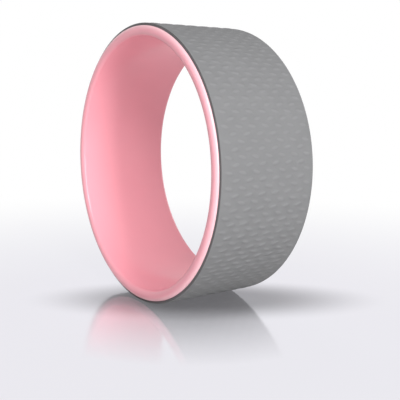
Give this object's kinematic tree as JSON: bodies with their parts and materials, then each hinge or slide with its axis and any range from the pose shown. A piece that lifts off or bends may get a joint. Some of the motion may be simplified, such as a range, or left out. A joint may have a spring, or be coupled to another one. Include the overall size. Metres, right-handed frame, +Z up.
{
  "type": "yoga wheel",
  "caption": "Yoga wheel: an open plastic hoop with low rounded lips and a textured foam grip mat glued round it, rolled under the back for stretching.",
  "frame": {"origin": "the wheel's centre: the middle of the bore, halfway between the hoop's two end faces", "axes": "+Y along the axle line that the wheel rolls about, +Z up as it stands on its tread, +X the way it rolls; the mat's butt seam is at -X"},
  "size_m": [0.33, 0.13, 0.3297],
  "materials": {
    "hoop_plastic": "satin-gloss moulded plastic, pink",
    "mat_foam": "matt embossed foam, grey",
    "adhesive": "dried contact adhesive, amber"
  },
  "bodies": {
    "root": {"hoop": "hoop_plastic", "adhesive_film": "adhesive", "grip_mat": "mat_foam"}
  },
  "joints": []
}
